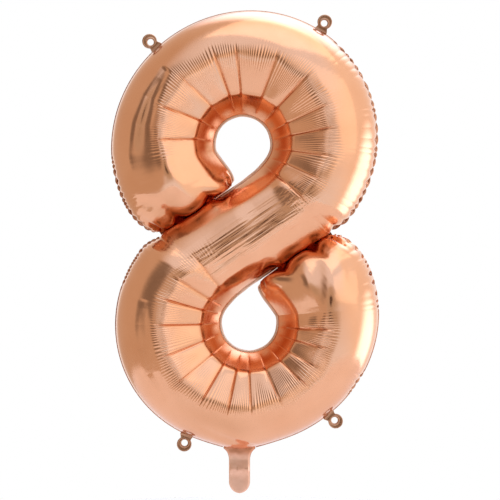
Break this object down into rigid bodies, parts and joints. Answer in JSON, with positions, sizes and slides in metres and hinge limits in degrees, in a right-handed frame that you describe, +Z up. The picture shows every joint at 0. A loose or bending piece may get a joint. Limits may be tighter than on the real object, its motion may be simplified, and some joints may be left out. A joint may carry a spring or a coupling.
{
  "type": "foil number balloon",
  "caption": "Inflated rose-gold foil balloon in the shape of an 8, two sealed film panels with four hanging tabs and a filling tail with a flat valve.",
  "frame": {"origin": "midpoint between the holes of the two upper hanging tabs, in the seam plane", "axes": "+Z up, +X to the right seen from the front, the front faces -Y"},
  "size_m": [0.5228, 0.1978, 0.9412],
  "materials": {
    "rose_gold_foil": "mirror-gloss vacuum-metallised film, rose gold",
    "sealed_foil": "heat-sealed double film, satin with a faint emboss",
    "valve_film": "thin translucent polyethylene film"
  },
  "bodies": {
    "envelope": {"front_foil_panel": "rose_gold_foil", "back_foil_panel": "rose_gold_foil", "upper_outer_seal": "sealed_foil", "lower_right_outer_seal": "sealed_foil", "lower_left_outer_seal": "sealed_foil", "upper_hole_seal": "sealed_foil", "lower_hole_seal": "sealed_foil", "upper_slit_web": "sealed_foil", "lower_slit_web": "sealed_foil"},
    "upper_left_tab": {"upper_left_hanging_tab": "sealed_foil"},
    "upper_right_tab": {"upper_right_hanging_tab": "sealed_foil"},
    "lower_left_tab": {"lower_left_hanging_tab": "sealed_foil"},
    "lower_right_tab": {"lower_right_hanging_tab": "sealed_foil"},
    "tail": {"tail_front_film": "rose_gold_foil", "tail_back_film": "rose_gold_foil", "tail_left_seal": "sealed_foil", "tail_right_seal": "sealed_foil", "tail_valve_front_film": "valve_film", "tail_valve_back_film": "valve_film"},
    "valve_front": {"inner_valve_front_film": "valve_film"},
    "valve_back": {"inner_valve_back_film": "valve_film"}
  },
  "joints": [
    {"name": "upper_left_tab_bend", "type": "hinge", "parent": "envelope", "child": "upper_left_tab", "pos_m": [-0.15911, 0, -0.02949], "axis": [0.7423, 0, 0.67], "range_deg": [-70, 70], "stiffness_Nm_per_rad": 0.002},
    {"name": "upper_right_tab_bend", "type": "hinge", "parent": "envelope", "child": "upper_right_tab", "pos_m": [0.16155, 0, 0.00375], "axis": [0.8365, 0, -0.548], "range_deg": [-70, 70], "stiffness_Nm_per_rad": 0.002},
    {"name": "lower_left_tab_bend", "type": "hinge", "parent": "envelope", "child": "lower_left_tab", "pos_m": [-0.10009, 0, -0.78487], "axis": [-0.9082, 0, 0.4185], "range_deg": [-70, 70], "stiffness_Nm_per_rad": 0.002},
    {"name": "lower_right_tab_bend", "type": "hinge", "parent": "envelope", "child": "lower_right_tab", "pos_m": [0.17674, 0, -0.74528], "axis": [-0.7867, 0, -0.6173], "range_deg": [-70, 70], "stiffness_Nm_per_rad": 0.002},
    {"name": "tail_fold", "type": "hinge", "parent": "envelope", "child": "tail", "pos_m": [0.0029, 0, -0.8102], "axis": [1, 0, 0], "range_deg": [-75, 75], "stiffness_Nm_per_rad": 0.001},
    {"name": "valve_front_open", "type": "hinge", "parent": "envelope", "child": "valve_front", "pos_m": [0.0029, 0, -0.806], "axis": [1, 0, 0], "range_deg": [0, 8], "stiffness_Nm_per_rad": 0.002},
    {"name": "valve_back_open", "type": "hinge", "parent": "envelope", "child": "valve_back", "pos_m": [0.0029, 0, -0.806], "axis": [1, 0, 0], "range_deg": [-8, 0], "stiffness_Nm_per_rad": 0.002}
  ],
  "couplings": [
    {"joint": "valve_back_open", "follows": "valve_front_open", "ratio": -1}
  ]
}
